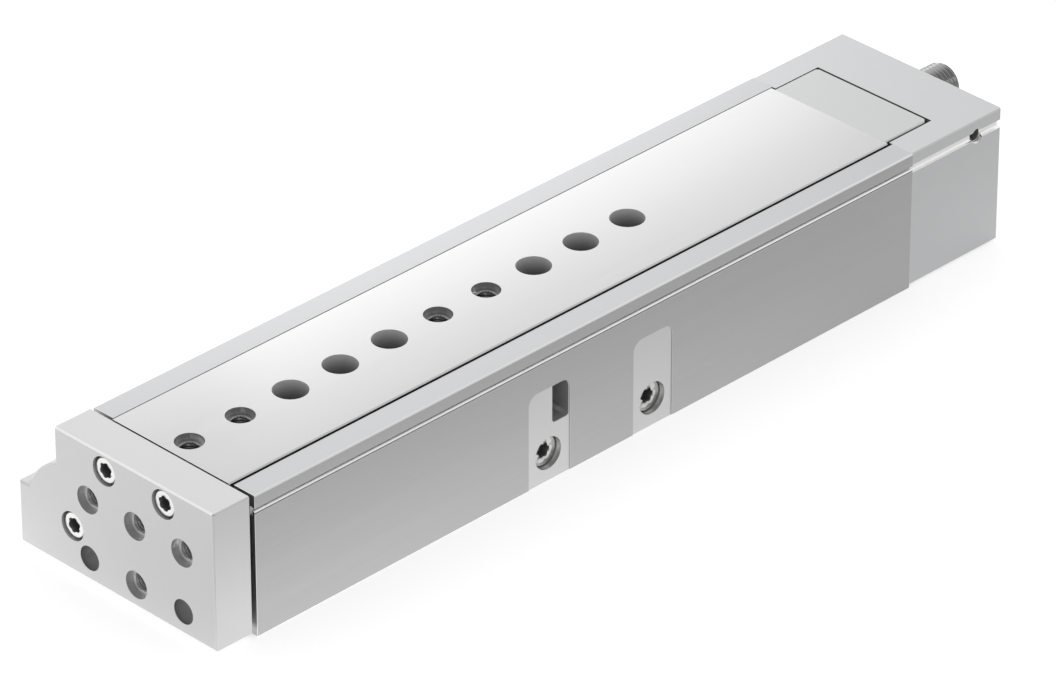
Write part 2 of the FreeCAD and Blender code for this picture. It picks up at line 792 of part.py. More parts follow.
write("absorber_clamp_screw", clamp_screw())
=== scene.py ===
# %% [markdown]
# A pneumatic mini slide, finished and lit.
# The slide comes in as a fixed frame: each piece has its real size and place, in metres, with +Z up.
# Nothing here moves or resizes it. What follows breaks its sharp edges, cuts its threads, gives each
# piece the finish that a machine shop or a plating bath would leave, and puts it in a small studio.

# %% Load the frame
import json
import math

import bmesh
import bpy
from mathutils import Matrix, Vector


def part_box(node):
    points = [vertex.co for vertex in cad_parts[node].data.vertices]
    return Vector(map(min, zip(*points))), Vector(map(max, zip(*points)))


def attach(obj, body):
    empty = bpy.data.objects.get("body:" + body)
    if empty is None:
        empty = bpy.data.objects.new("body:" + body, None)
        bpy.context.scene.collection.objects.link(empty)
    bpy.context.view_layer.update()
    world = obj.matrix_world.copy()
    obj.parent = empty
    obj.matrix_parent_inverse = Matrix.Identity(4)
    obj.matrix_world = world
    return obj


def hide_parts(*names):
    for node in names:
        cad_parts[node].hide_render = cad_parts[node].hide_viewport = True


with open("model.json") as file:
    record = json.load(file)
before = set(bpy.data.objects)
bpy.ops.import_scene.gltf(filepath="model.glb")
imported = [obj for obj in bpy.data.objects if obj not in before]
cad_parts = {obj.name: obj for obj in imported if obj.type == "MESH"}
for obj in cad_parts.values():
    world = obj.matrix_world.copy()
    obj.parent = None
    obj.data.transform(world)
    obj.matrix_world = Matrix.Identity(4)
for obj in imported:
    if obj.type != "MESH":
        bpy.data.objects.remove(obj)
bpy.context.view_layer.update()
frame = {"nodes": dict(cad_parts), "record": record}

mm = 0.001
nodes = frame["nodes"]
record = frame["record"]

# %% [markdown]
# The camera stands where the photographer's did. The edges of a long straight housing meet in three
# vanishing points, and those give the viewing angle and the focal length in pixels. A long lens far
# away keeps the far end of the slide nearly as large as the near end, as catalogue pictures do.

# %% Camera
photo_width = 1056               # pixels
focal_pixels = 7409.6
sensor_width = 36.0              # in the lens's own millimetres
camera_azimuth = math.radians(44.99)
camera_elevation = math.radians(31.15)
camera_place = Vector((1.3455, -1.3184, 1.1750))

lens = bpy.data.cameras.new("studio_camera")
lens.sensor_fit = "HORIZONTAL"
lens.sensor_width = sensor_width
lens.lens = sensor_width * focal_pixels / photo_width
camera = bpy.data.objects.new("studio_camera", lens)
camera.location = camera_place
level = math.cos(camera_elevation)
back = Vector((
    math.sin(camera_azimuth) * level, -math.cos(camera_azimuth) * level, math.sin(camera_elevation),
))
camera.rotation_euler = back.to_track_quat("Z", "Y").to_euler()
bpy.context.scene.collection.objects.link(camera)
bpy.context.scene.camera = camera
bpy.context.scene.view_settings.view_transform = "Standard"
print("lens:", round(lens.lens, 1), "mm at", round(camera_place.length, 2), "m")

# %% [markdown]
# Shader maths reads best as a formula. A Wire is one socket of a material, and sums and products of
# Wires add the Math nodes behind them, so that 0.4 + 0.1 * grain is all that has to be written.
# Colours and vectors never go through Math, which would turn them grey: they take Mix and Vector
# Math, through Finish.node, the one method that adds any other kind of node.

# %% Wires and finishes
class Wire:
    """A shader socket that can stand in a sum or a product."""

    def __init__(self, finish, socket):
        self.finish = finish
        self.socket = socket

    def math(self, operation, first, second):
        return self.finish.node("ShaderNodeMath", {"operation": operation}, {0: first, 1: second})

    def __add__(self, other):
        return self.math("ADD", self, other)

    def __radd__(self, other):
        return self.math("ADD", other, self)

    def __sub__(self, other):
        return self.math("SUBTRACT", self, other)

    def __mul__(self, other):
        return self.math("MULTIPLY", self, other)

    def __rmul__(self, other):
        return self.math("MULTIPLY", other, self)


class Finish:
    """A material as it is being mixed."""

    def __init__(self, tree):
        self.tree = tree
        self.tree.nodes.clear()

    def node(self, kind, settings=None, sockets=None, out=0):
        """Add a node, set it up, join or fill its sockets, and return one of its outputs."""
        made = self.tree.nodes.new(kind)
        for name, value in (settings or {}).items():
            setattr(made, name, value)
        for key, value in (sockets or {}).items():
            if isinstance(value, Wire):
                self.tree.links.new(value.socket, made.inputs[key])
            else:
                made.inputs[key].default_value = value
        return Wire(self, made.outputs[out]) if made.outputs else None

    def blobs(self, size, detail=2.0):
        """Smooth noise from 0 to 1 whose blobs have about this size, (x, y, z) in metres."""
        place = self.node("ShaderNodeTexCoord", out="Object")
        scaled = self.node("ShaderNodeVectorMath", {"operation": "DIVIDE"}, {0: place, 1: size})
        return self.node("ShaderNodeTexNoise", {}, {"Vector": scaled, "Scale": 1.0, "Detail": detail})

    def between(self, share, first, second):
        """A colour between two colours."""
        sockets = {0: share, 6: (*first, 1.0), 7: (*second, 1.0)}
        return self.node("ShaderNodeMix", {"data_type": "RGBA"}, sockets, out=2)

    def along(self, axis):
        """How far along one of its object's axes a point lies: 0, 1 and 2 are X, Y and Z."""
        place = self.node("ShaderNodeTexCoord", out="Object")
        return self.node("ShaderNodeSeparateXYZ", {}, {0: place}, out=axis)

    def ramp(self, value, start, end, first, last, curve="SMOOTHSTEP"):
        """A value that runs from first to last while another one runs from start to end."""
        return self.node("ShaderNodeMapRange", {"interpolation_type": curve}, {
            "Value": value, "From Min": start, "From Max": end, "To Min": first, "To Max": last,
        })


def new_finish(name):
    material = bpy.data.materials.new(name)
    material.use_nodes = True
    return material, Finish(material.node_tree)


print("a formula adds its own nodes")

# %% [markdown]
# Nearly every piece here is bare or thinly coated metal, and what tells one from another is its lay:
# the direction and size of the marks that its last operation left. Drawn aluminium has long soft
# streaks, a ground table has finer ones, and a blasted and anodised plate has an even grain. So one
# function makes them all. Streaks are noise stretched along the lay, at a broad and a fine scale.
# They shift the colour and the roughness a little, and lift the surface by microns. A wall that gets
# less light further in can also carry painted shade: its colour fades along one axis.

# %% Metal finishes
mark_height = 0.004 * mm


def shades(colour, contrast):
    """A colour made a little darker, and the same made a little lighter."""
    return [c * (1 - contrast) for c in colour], [min(1.0, c * (1 + contrast)) for c in colour]


def metal(name, colour, roughness, broad, fine, contrast=0.05, gloss_change=0.05, metallic=1.0, fade=None):
    """A metal whose marks have a broad and a fine size, each (x, y, z) in metres.

    fade is (axis, start, end, least), a painted shade: from start to end on the axis, the colour falls to
    its least share.
    """
    material, finish = new_finish(name)
    streaks = finish.blobs(broad, 3.0)
    lines = finish.blobs(fine, 2.0)
    tone = finish.between(0.6 * streaks + 0.4 * lines, *shades(colour, contrast))
    # painted shade: the colour falls along one axis, as less light reaches further in
    if fade:
        axis, start, end, least = fade
        share = finish.ramp(finish.along(axis), start, end, 1.0, least, "LINEAR")
        tone = finish.node("ShaderNodeVectorMath", {"operation": "SCALE"}, {0: tone, "Scale": share})
    bump = finish.node("ShaderNodeBump", {}, {"Strength": 0.35, "Distance": mark_height, "Height": lines})
    shader = finish.node("ShaderNodeBsdfPrincipled", {}, {
        "Base Color": tone,
        "Metallic": metallic,
        "Roughness": (roughness - gloss_change / 2) + gloss_change * streaks,
        "Normal": bump,
    })
    finish.node("ShaderNodeOutputMaterial", {}, {"Surface": shader})
    return material


along_y = (3 * mm, 160 * mm, 3 * mm)
fine_along_y = (0.25 * mm, 30 * mm, 0.25 * mm)
cloudy = (25 * mm, 25 * mm, 25 * mm)
blasted = (0.35 * mm, 0.35 * mm, 0.35 * mm)
turned = (6 * mm, 0.2 * mm, 6 * mm)

slot_metals = {
    "housing_aluminium": ((0.50, 0.50, 0.50), 0.42, along_y, fine_along_y, 0.07),
    "cap_aluminium": ((0.635, 0.64, 0.645), 0.45, cloudy, blasted, 0.03),
    "yoke_aluminium": ((0.67, 0.67, 0.67), 0.45, cloudy, blasted, 0.03),
    "table_steel": ((0.59, 0.59, 0.59), 0.20, along_y, fine_along_y, 0.03),
    "tongue_steel": ((0.61, 0.62, 0.62), 0.42, cloudy, blasted, 0.03),
    "rail_steel": ((0.55, 0.55, 0.56), 0.22, along_y, fine_along_y, 0.05),
    "rod_steel": ((0.62, 0.62, 0.63), 0.09, cloudy, turned, 0.02, 0.03),
    "screw_steel": ((0.92, 0.92, 0.91), 0.26, cloudy, blasted, 0.03),
    "absorber_steel": ((0.40, 0.40, 0.40), 0.12, cloudy, blasted, 0.05),
    "ball_steel": ((0.66, 0.66, 0.67), 0.05, cloudy, cloudy, 0.01, 0.02),
    "cage_brass": ((0.68, 0.52, 0.26), 0.30, cloudy, fine_along_y, 0.06),
    "plug_brass": ((0.66, 0.66, 0.64), 0.25, cloudy, blasted, 0.04),
    "piston_aluminium": ((0.55, 0.55, 0.56), 0.30, cloudy, turned, 0.06),
}
finishes = {name: metal(name, *recipe) for name, recipe in slot_metals.items()}
# The edge finishes are lighter than their faces: partly bare metal at a broken edge, partly a painted
# highlight.
cut_edge_highlight = metal("cut_edge_highlight", (0.95, 0.95, 0.95), 0.30, cloudy, blasted, 0.02)
drawn_edge_highlight = metal("drawn_edge_highlight", (0.80, 0.80, 0.80), 0.30, cloudy, blasted, 0.02)
soft_edge = metal("soft_edge", (0.70, 0.70, 0.70), 0.35, cloudy, blasted, 0.02)
milled_top = metal("milled_top", (0.56, 0.565, 0.575), 0.36, along_y, fine_along_y, 0.03)
milled_floor = metal("milled_floor", (0.64, 0.64, 0.64), 0.34, cloudy, fine_along_y, 0.03)
# Below, the window wall's finish is painted shade, and the pale groove and slot finishes are painted
# light. The bore, drill and thread finishes are darker than their metals, partly as duller cut metal and
# partly as painted shade, and the socket finish is painted shade.
window_painted_shade = metal("window_painted_shade", (0.34, 0.34, 0.34), 0.50, cloudy, blasted, 0.05, metallic=0.2)
groove_painted_light = metal("groove_painted_light", (0.97, 0.965, 0.96), 0.28, cloudy, fine_along_y, 0.01)
slot_painted_light = metal("slot_painted_light", (0.97, 0.965, 0.96), 0.50, cloudy, fine_along_y, 0.01, metallic=0.0)
bored = metal("bored", (0.50, 0.50, 0.505), 0.42, cloudy, turned, 0.08, metallic=0.5)
drilled_and_shade = metal("drilled_and_shade", (0.30, 0.30, 0.305), 0.42, cloudy, turned, 0.08, metallic=0.6)
drilled_steel = metal("drilled_steel", (0.36, 0.36, 0.365), 0.38, cloudy, turned, 0.08, metallic=0.5)
deep_bore = metal("deep_bore", (0.24, 0.24, 0.245), 0.50, cloudy, turned, 0.06, metallic=0.3)
thread_steel = metal("thread_steel", (0.20, 0.20, 0.205), 0.16, cloudy, blasted, 0.05)
thread_aluminium = metal("thread_aluminium", (0.50, 0.50, 0.50), 0.26, cloudy, blasted, 0.03, metallic=0.6)
hollow_painted_shade = metal("hollow_painted_shade", (0.17, 0.17, 0.175), 0.34, cloudy, blasted, 0.10, metallic=0.6)
print(len(finishes), "metals for the slots, and what a cutter or a drill leaves on them")

# %% [markdown]
# Seals, buffers, bearings and magnets aren't metal. Rubber is nearly black, with a dull mould skin.
# Acetal is creamy and slightly waxy, and a sintered magnet is dark with a fine crumbly grain.

# %% Rubber, plastic and ceramic
grain_height = 0.008 * mm


def moulded(name, colour, roughness, grain, contrast=0.15):
    """A matt non-metal with an even grain."""
    material, finish = new_finish(name)
    specks = finish.blobs(grain, 3.0)
    patches = finish.blobs(cloudy, 2.0)
    bump = finish.node("ShaderNodeBump", {}, {"Strength": 0.4, "Distance": grain_height, "Height": specks})
    shader = finish.node("ShaderNodeBsdfPrincipled", {}, {
        "Base Color": finish.between(0.5 * specks + 0.5 * patches, *shades(colour, contrast)),
        "Roughness": (roughness - 0.05) + 0.1 * patches,
        "Normal": bump,
    })
    finish.node("ShaderNodeOutputMaterial", {}, {"Surface": shader})
    return material


finishes["seal_rubber"] = moulded("seal_rubber", (0.022, 0.022, 0.024), 0.55, (0.2 * mm,) * 3)
finishes["buffer_rubber"] = moulded("buffer_rubber", (0.05, 0.055, 0.06), 0.6, (0.3 * mm,) * 3)
finishes["bearing_plastic"] = moulded("bearing_plastic", (0.62, 0.56, 0.44), 0.45, (0.5 * mm,) * 3, 0.05)
finishes["magnet_ceramic"] = moulded("magnet_ceramic", (0.05, 0.05, 0.055), 0.7, (0.15 * mm,) * 3, 0.3)
print(len(finishes), "finishes in all")

# %% [markdown]
# No machined edge is perfectly sharp: it is broken by a file, a tumbling drum or a chamfer tool, and
# the thin bright line that it then catches is what makes metal look real. A copy of the node's mesh
# is welded, its flat faces are joined, and each convex sharp edge gets a tiny round. Those new faces
# take the second material, which is lighter than the face: partly bare metal, where anodising and
# grinding stop at the edge, and partly a painted highlight.
# Weighted normals keep the large faces flat while the rounds blend into them.

# %% Broken edges
weld = 0.002 * mm
flat_angle = math.radians(0.6)
sharp_angle = math.radians(28)
shade_angle = math.radians(50)
edge_coat = 1                    # the place of the edges' finish among a mesh's finishes


def can_break(edge):
    """Whether an edge is convex and sharp and lies between faces that aren't rounds themselves."""
    if not (edge.is_manifold and edge.is_convex and edge.calc_face_angle() > sharp_angle):
        return False
    return all(face.material_index == 0 for face in edge.link_faces)


def broken_edges(node, width, edge_finish=None, wide=None, wide_width=0.0):
    """A copy of a node's mesh with its convex sharp edges rounded; wide(edge) picks the wider ones."""
    source = bmesh.new()
    source.from_mesh(nodes[node].data)
    bmesh.ops.remove_doubles(source, verts=source.verts, dist=weld)
    bmesh.ops.dissolve_limit(source, angle_limit=flat_angle, verts=source.verts, edges=source.edges)
    for face in source.faces:
        face.material_index = 0
    for size, chosen in ((wide_width, wide), (width, can_break)):
        if not chosen:
            continue
        sharp = [e for e in source.edges if can_break(e) and chosen(e)]
        bmesh.ops.bevel(
            source, geom=sharp, offset=size, offset_type="OFFSET", segments=2, profile=0.5,
            affect="EDGES", clamp_overlap=False, loop_slide=True, material=edge_coat,
        )
    mesh = bpy.data.meshes.new(node)
    source.to_mesh(mesh)
    source.free()
    finish = finishes[slot_of(node)]
    mesh.materials.append(finish)
    mesh.materials.append(edge_finish or finish)
    return mesh


def piece(name, mesh, body, slot_name, *more):
    """Turn a mesh into a piece that rides on a body. It gets those finishes that it doesn't have yet."""
    for finish in [finishes[slot_name], *more][len(mesh.materials):]:
        mesh.materials.append(finish)
    mesh.shade_smooth()
    mesh.set_sharp_from_angle(angle=shade_angle)
    made = bpy.data.objects.new(name, mesh)
    bpy.context.scene.collection.objects.link(made)
    flat = made.modifiers.new("flat_faces", "WEIGHTED_NORMAL")
    flat.keep_sharp = True
    flat.weight = 100
    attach(made, body)
    return made


def solids_of(node):
    """The lowest and highest corner of each separate solid in a node."""
    source = bmesh.new()
    source.from_mesh(nodes[node].data)
    bmesh.ops.remove_doubles(source, verts=source.verts, dist=weld)
    left, boxes = set(source.verts), []
    while left:
        group, queue = set(), [left.pop()]
        while queue:
            point = queue.pop()
            group.add(point)
            near = [e.other_vert(point) for e in point.link_edges]
            queue += [v for v in near if v in left]
            left.difference_update(near)
        places = [v.co for v in group]
        low = Vector(min(p[i] for p in places) for i in range(3))
        high = Vector(max(p[i] for p in places) for i in range(3))
        boxes.append((low, high))
    source.free()
    return sorted(boxes, key=lambda box: tuple(box[0]))


def middles_of(node):
    return [(low + high) / 2 for low, high in solids_of(node)]


def slot_of(node):
    return next(row["material_slot"] for row in record["subparts"] if row["node"] == node)


def body_of(node):
    return next(body for body, members in record["behaviour"]["bodies"].items() if node in members)


print("edge faces are a second material on each mesh")

# %% [markdown]
# A thread is one groove that climbs round a rod. Modelling it as stacked rings would look right from
# afar and wrong up close, so the rows of this mesh follow the helix itself: each row starts where the
# row one pitch further down ended. The profile is a metric one, with a flat crest, two flanks and a
# flat root. The same rod, a little larger than the hole, is the tap that cuts an inside thread.

# %% Threads
thread_marks = ((0.0, 1.0), (1 / 8, 1.0), (7 / 16, 0.0), (11 / 16, 0.0))
touching = 1e-8                  # metres: points nearer than this are one


def threaded_rod(major, minor, pitch, length, end_radius, sides=48):
    """A closed threaded rod from the origin along +Z. Both ends narrow to end_radius."""
    spare = 2                    # turns drawn past each end, and pressed flat onto it
    turns = math.ceil(length / pitch) + 2 * spare
    rows = len(thread_marks) * turns
    mesh = bmesh.new()
    grid = []
    for row in range(rows):
        share, crest = thread_marks[row % len(thread_marks)]
        for side in range(sides):
            height = (row // len(thread_marks) - spare + share + side / sides) * pitch
            from_end = max(0.0, min(height, length - height))
            radius = min(minor + (major - minor) * crest, end_radius + from_end)
            turn = 2 * math.pi * side / sides
            height = max(0.0, min(length, height))
            grid.append(mesh.verts.new((radius * math.cos(turn), radius * math.sin(turn), height)))
    for row in range(rows - 1):
        for side in range(sides):
            here, above = row * sides + side, (row + 1) * sides + side
            step = 1
            if side == sides - 1:
                step = 1 - sides + len(thread_marks) * sides
            if above + step < len(grid):
                mesh.faces.new((grid[here], grid[here + step], grid[above + step], grid[above]))
    bmesh.ops.remove_doubles(mesh, verts=mesh.verts, dist=touching)
    bmesh.ops.dissolve_degenerate(mesh, dist=touching, edges=mesh.edges)
    loose = [v for v in mesh.verts if not v.link_faces]
    bmesh.ops.delete(mesh, geom=loose, context="VERTS")
    bmesh.ops.holes_fill(mesh, edges=[e for e in mesh.edges if e.is_boundary], sides=0)
    bmesh.ops.recalc_face_normals(mesh, faces=mesh.faces)
    return mesh


def pose_at(place, direction):
    """The move that takes what is drawn along +Z to a place and a direction."""
    return Matrix.Translation(place) @ Vector(direction).to_track_quat("Z", "Y").to_matrix().to_4x4()


def put(mesh, place, direction):
    bmesh.ops.transform(mesh, matrix=pose_at(place, direction), verts=mesh.verts)
    return mesh


def as_mesh(source, name, *coats):
    """A mesh from its drawing. Its finishes come before any boolean, which would add an empty one."""
    mesh = bpy.data.meshes.new(name)
    source.to_mesh(mesh)
    source.free()
    for finish in coats:
        mesh.materials.append(finish)
    return mesh


def combined(mesh, tool, operation):
    """The boolean of a mesh and a tool, both closed. A tool without a finish takes the mesh's first."""
    if not tool.materials:
        tool.materials.append(mesh.materials[0])
    first = bpy.data.objects.new("first", mesh)
    second = bpy.data.objects.new("second", tool)
    for helper in (first, second):
        bpy.context.scene.collection.objects.link(helper)
    step = first.modifiers.new("step", "BOOLEAN")
    step.operation = operation
    step.solver = "MANIFOLD"
    step.object = second
    bpy.context.view_layer.update()
    graph = bpy.context.evaluated_depsgraph_get()
    result = bpy.data.meshes.new_from_object(first.evaluated_get(graph))
    result.name = mesh.name
    for helper in (first, second):
        bpy.data.objects.remove(helper)
    return result


trial = threaded_rod(3.0 * mm, 2.5 * mm, 1.0 * mm, 10 * mm, 2.6 * mm)
print("an M6 rod has", len(trial.verts), "points; open edges:", sum(e.is_boundary for e in trial.edges))
trial.free()

# %% [markdown]
# The record's mounts say where the mounting threads are, so their places come from there. Each is an
# M6 hole at the bottom of a shallow bore for a centring sleeve. A tap is run into it from the bore's
# floor down to the far side.

# %% Tapped holes
m6_major, m6_pitch = 3.0 * mm, 1.0 * mm
tap_relief = 0.02 * mm          # the tap's root, inside the hole that is already there
mounts = {m["name"]: m for m in record["mounts"]}


def pattern_places(mount):
    """The centre of each hole of a mount's pattern."""
    row = mounts[mount]
    axes = [Vector(a) for a in ((1, 0, 0), (0, 1, 0), (0, 0, 1))]
    across = [a for a in axes if abs(a.dot(row["axis"])) < 0.5]
    gaps = [row["dims"].get(name, 0) * mm for name in ("spacing_x_mm", "spacing_y_mm")]
    places = [Vector(row["pos_m"])]
    for direction, gap in zip(across, gaps):
        if gap:
            places = [p + direction * (side * gap / 2) for p in places for side in (-1, 1)]
    return places


def tapped(mesh, mount, depth_from, depth_to):
    """Cut M6 threads between two depths, along the mount's axis, at each of its holes."""
    row = mounts[mount]
    root = row["dims"]["hole_r_mm"] * mm - tap_relief
    axis = Vector(row["axis"])
    for place in pattern_places(mount):
        start = place - axis * (place.dot(axis) - depth_to)
        tap = threaded_rod(m6_major, root, m6_pitch, depth_from - depth_to, root, sides=32)
        mesh = combined(mesh, as_mesh(put(tap, start, axis), "tap"), "DIFFERENCE")
    return mesh


print("thread places:", [tuple(round(c / mm, 1) for c in p) for p in pattern_places("yoke_threads_upper")])

# %% [markdown]
# A drilled wall is duller than a milled or ground face: it has fine rings from the drill's lip, and
# only light that comes down the hole reaches it. So the faces inside each hole get a finish of their
# own, darker than the face round them, partly as duller drilled metal and partly as painted shade. A
# face counts as inside when its centre is nearer to the hole's axis than the hole's radius, and it
# isn't the flat floor of the hole. The broken edge at the mouth keeps its own finish.

# %% Hole walls
mouth = 0.1 * mm                 # how deep the broken edge at a hole's mouth reaches
outside = 0.02 * mm              # how far a wall's facets may stand outside the true radius


def line_holes(mesh, coat, axis, holes):
    """Give the walls of holes a finish. Holes are (centre, radius, how far down they start)."""
    axis = Vector(axis)
    for polygon in mesh.polygons:
        if abs(polygon.normal.dot(axis)) > 0.9:
            continue
        for centre, radius, start in holes:
            offset = polygon.center - centre
            along = offset.dot(axis)
            if along < -start and (offset - along * axis).length < radius + outside:
                polygon.material_index = coat


def on_face(place, axis, level):
    """The same place, moved along one axis to the face that its hole starts from."""
    moved = Vector(place)
    moved[axis] = level
    return moved


def within(value, zone):
    return zone[0] < value < zone[1]


row_spots = {name: pattern_places(name) for name in mounts if "hole_r_mm" in mounts[name]["dims"]}
print("patterns of holes:", len(row_spots))

# %% [markdown]
# The slide table is a ground steel bar. Its wide top carries ten holes: four threads for the load,
# in two pairs, and six larger holes through which a key reaches the screws in the base. The walls of
# these six carry painted shade: bright at the mouth and darkening as they go down.

# %% Slide table
table_edge = 0.07 * mm
centring_radius, centring_depth = 4.5 * mm, 2.1 * mm
access_radius, access_fade = 5.5 * mm, 5.8 * mm
past = 0.3 * mm                  # how far a tap runs out of the metal
table_low, table_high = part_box("slide_table")
# The access holes' walls fade as painted shade, darkest deep down.
access_bore_shade = metal("access_bore_shade", (0.76, 0.76, 0.765), 0.50, cloudy, turned, 0.05, metallic=0.3,
                    fade=(2, table_high.z, table_high.z - access_fade, 0.40))
table_mesh = broken_edges("slide_table", table_edge)
for mount in ("table_threads_front", "table_threads_rear"):
    table_mesh = tapped(table_mesh, mount, table_high.z - centring_depth, table_low.z - past)
table = piece("slide_table_ground", table_mesh, "table", "table_steel", finishes["table_steel"],
              drilled_steel, access_bore_shade, thread_steel)
bore_coat, access_coat, thread_coat = 2, 3, 4
threads = row_spots["table_threads_front"] + row_spots["table_threads_rear"]
access = [p for name in row_spots if name.startswith("table_access") for p in row_spots[name]]
# The walls of the bores, access holes and threads get darker finishes, partly duller cut metal and partly
# painted shade.
for coat, spots, radius, start in (
    (bore_coat, threads, centring_radius, mouth),
    (access_coat, access, access_radius, mouth),
    (thread_coat, threads, m6_major, centring_depth + mouth),
):
    holes = [(on_face(p, 2, table_high.z), radius, start) for p in spots]
    line_holes(table.data, coat, (0, 0, 1), holes)
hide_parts("slide_table")
print("table:", len(table.data.polygons), "faces")

# %% [markdown]
# The yoke plate ties the table to the piston rod. Its face has a fine bevelled rim, with a painted
# highlight along the top, three seats with screws in them, four centred threads and two plain holes.
# The plain holes run right through, and their walls carry painted shade and light: darkest at the
# mouth and lighter further in.

# %% Yoke plate
yoke_low, yoke_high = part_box("yoke_plate")
plain_radius, plain_fade = 4.0 * mm, 6.6 * mm
# The plain holes' walls fade as painted shade, darkest at the mouth.
yoke_bore_shade = metal("yoke_bore_shade", (0.95, 0.95, 0.95), 0.45, cloudy, turned, 0.03, metallic=0.3,
                  fade=(1, yoke_low.y + plain_fade, yoke_low.y, 0.16))
yoke_mesh = broken_edges("yoke_plate", 0.12 * mm, soft_edge)
yoke_front = -(yoke_low.y + centring_depth)
yoke_rim = yoke_high.z - 1.0 * mm
foot_side, foot_rise = -34.5 * mm, 18 * mm       # edges out here on the foot keep the plate's finish
seat_radius = 4.75 * mm
for mount in ("yoke_threads_upper", "yoke_threads_middle"):
    yoke_mesh = tapped(yoke_mesh, mount, yoke_front, -yoke_high.y - past)
yoke = piece("yoke_plate_matt", yoke_mesh, "table", "yoke_aluminium",
             soft_edge, bored, cut_edge_highlight, thread_aluminium, yoke_bore_shade)
bored_coat, rim_highlight_coat, thread_coat, plain_coat = 2, 3, 4, 5
# The rim's slanted faces along the top take the bright edge finish, a painted highlight.
for polygon in yoke.data.polygons:
    slanted = polygon.normal.y < -0.3 and polygon.normal.z > 0.3
    if slanted and polygon.center.z > yoke_rim:
        polygon.material_index = rim_highlight_coat
    if polygon.center.x < foot_side and polygon.center.z > foot_rise:
        polygon.material_index = 0
centred = row_spots["yoke_threads_upper"] + row_spots["yoke_threads_middle"]
seats = middles_of("yoke_screws") + middles_of("rod_screw")
# The walls of bores, seats, threads and plain holes get darker finishes, partly duller cut metal and
# partly painted shade.
for coat, spots, radius, start in (
    (bored_coat, centred, centring_radius, mouth),
    (bored_coat, seats, seat_radius, mouth),
    (thread_coat, centred, m6_major, centring_depth + mouth),
    (plain_coat, row_spots["yoke_plain_holes"], plain_radius, mouth),
):
    holes = [(on_face(p, 1, yoke_low.y), radius, start) for p in spots]
    line_holes(yoke.data, coat, (0, -1, 0), holes)
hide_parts("yoke_plate")
print("yoke:", len(yoke.data.polygons), "faces")

# %% [markdown]
# The housing is an aluminium extrusion with milled places. Its top, the floors of its recesses and the
# seats of the two side ports are lighter than its drawn sides. The sensor slot is painted pale inside,
# as painted light, behind a lip with a painted highlight, and a fine dark line of painted shade lies
# just below. The top's outer edges on the +X side carry a dimmer painted highlight. The window's walls
# get little light, and their dark colour is painted shade.

# %% Housing
housing_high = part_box("housing")[1]
hair = 0.01 * mm                 # less than any step on the housing
top_side = 34 * mm               # the top's outer edges lie further out than this
top_rim = 0.9 * mm               # how far down the rounded outer edges of the top reach
slot_zone, slot_depths = (41.95 * mm, 43.6 * mm), (hair, 4.5 * mm)
score_zone, score_depths = (41.58 * mm, 41.97 * mm), (0.005 * mm, 0.5 * mm)
recess_zones = ((-6.5 * mm, 11.6 * mm), (37.7 * mm, 55.1 * mm))
recess_depths, recess_rim, recess_top = (0.1 * mm, 1.0 * mm), 0.4 * mm, 32.6 * mm
milled_below = 34 * mm           # every milled floor on the long side lies below this height
window_y, window_z, window_depths = (3.5 * mm, 11 * mm), (19 * mm, 32.5 * mm), (0.5 * mm, 9 * mm)
port_radius = 5.4 * mm


def long_top_edge(edge):
    """Whether an edge is an outer one of the housing's top."""
    return all(v.co.z > housing_high.z - hair and abs(v.co.x) > top_side for v in edge.verts)


housing_mesh = broken_edges("housing", 0.1 * mm, cut_edge_highlight, long_top_edge, 0.14 * mm)
housing = piece("housing_drawn", housing_mesh, "housing", "housing_aluminium",
                cut_edge_highlight, milled_top, milled_floor, slot_painted_light, drilled_and_shade, window_painted_shade, drawn_edge_highlight)
top_coat, floor_coat, slot_coat, score_coat, wall_coat, drawn_highlight_coat = range(2, 8)
for polygon in housing.data.polygons:
    normal, place = polygon.normal, polygon.center
    depth = housing_high.x - place.x
    if normal.z > 0.99 and place.z > housing_high.z - hair:
        polygon.material_index = top_coat
    if normal.x > 0.99 and within(depth, recess_depths) and place.z < milled_below:
        polygon.material_index = floor_coat
    # painted light inside the sensor slot, and a painted highlight on its lip
    if within(place.z, slot_zone) and within(depth, slot_depths):
        lip = normal.x > 0.3 and normal.z > 0.3
        polygon.material_index = edge_coat if lip else slot_coat
    # painted shade in the fine score line under the slot
    if within(place.z, score_zone) and within(depth, score_depths):
        polygon.material_index = score_coat
    # a dimmer painted highlight on the top's outer edges on the +X side
    if normal.x > 0.1 and normal.z > 0.1 and place.z > housing_high.z - top_rim:
        polygon.material_index = drawn_highlight_coat
    if depth < recess_rim and place.z < recess_top and polygon.material_index == edge_coat:
        if any(within(place.y, zone) for zone in recess_zones):
            polygon.material_index = floor_coat
    # painted shade on the window's walls
    if within(place.y, window_y) and within(place.z, window_z) and within(depth, window_depths):
        polygon.material_index = wall_coat
plugs = middles_of("port_plug_front") + middles_of("port_plug_rear")
ports = [(on_face(p, 0, housing_high.x), port_radius, recess_rim) for p in plugs]
line_holes(housing.data, floor_coat, (1, 0, 0), ports)
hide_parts("housing")
print("housing:", len(housing.data.polygons), "faces")

# %% [markdown]
# The rear cap closes the cylinder and has two air ports in its back. A pipe thread is finer than a
# screw thread of its size, 28 turns to the inch, and its crest is wider than the hole it is cut in.
# The same threaded rod makes it, blind. A groove carries the line of the sensor slot on; it and the
# countersink of the clamp hole are painted pale as painted light, and the clamp hole below is painted
# dark as painted shade. The pocket's rear wall, close behind the tongue, and its edge, which is broken
# wider, are painted dark as painted shade. The walls of the seats and ports in the back are darker,
# partly as drilled metal and partly as painted shade.

